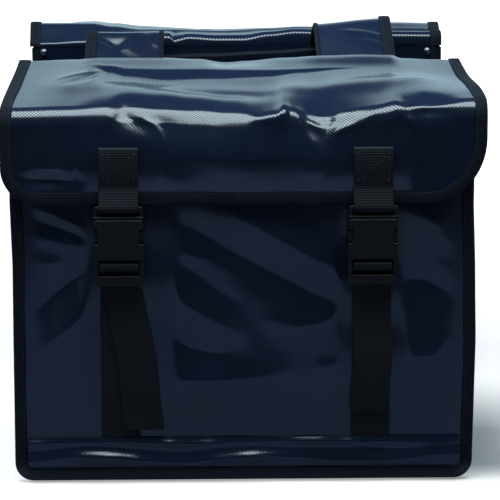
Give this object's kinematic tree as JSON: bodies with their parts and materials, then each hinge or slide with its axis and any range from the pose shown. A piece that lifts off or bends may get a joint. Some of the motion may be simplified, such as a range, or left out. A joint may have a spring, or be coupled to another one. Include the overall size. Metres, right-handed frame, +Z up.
{
  "type": "double bicycle pannier bag",
  "caption": "Double bicycle pannier of navy coated cloth: two box bags with buckled flaps, joined by arched bridge straps that lie over a rear rack.",
  "frame": {"origin": "middle of the rack gap on the floor the bags stand on", "axes": "+X to the right seen from in front of the near bag, +Y from the near bag to the far bag, +Z up"},
  "size_m": [0.3954, 0.5228, 0.3566],
  "materials": {
    "tarpaulin": "glossy coated weave",
    "edging": "matt woven tape",
    "belt": "ribbed webbing",
    "buckle": "satin moulded",
    "rivet": "black"
  },
  "bodies": {
    "root": {"near_front_panel": "tarpaulin", "near_gusset": "tarpaulin", "near_back_panel": "tarpaulin", "near_flap": "tarpaulin", "near_base_strip": "tarpaulin", "near_front_binding": "edging", "near_back_binding": "edging", "near_flap_binding": "edging", "near_flap_strap_l": "belt", "near_lower_strap_l": "belt", "near_buckle_male_l": "buckle", "near_buckle_female_l": "buckle", "near_rivet_l": "rivet", "near_flap_strap_r": "belt", "near_lower_strap_r": "belt", "near_buckle_male_r": "buckle", "near_buckle_female_r": "buckle", "near_rivet_r": "rivet", "far_front_panel": "tarpaulin", "far_gusset": "tarpaulin", "far_back_panel": "tarpaulin", "far_flap": "tarpaulin", "far_base_strip": "tarpaulin", "far_front_binding": "edging", "far_back_binding": "edging", "far_flap_binding": "edging", "far_flap_strap_l": "belt", "far_lower_strap_l": "belt", "far_buckle_male_l": "buckle", "far_buckle_female_l": "buckle", "far_rivet_l": "rivet", "far_flap_strap_r": "belt", "far_lower_strap_r": "belt", "far_buckle_male_r": "buckle", "far_buckle_female_r": "buckle", "far_rivet_r": "rivet", "bridge_strap_l": "tarpaulin", "bridge_binding_lo": "edging", "bridge_binding_li": "edging", "bridge_strap_r": "tarpaulin", "bridge_binding_ro": "edging", "bridge_binding_ri": "edging", "bridge_tie": "belt"}
  },
  "joints": []
}
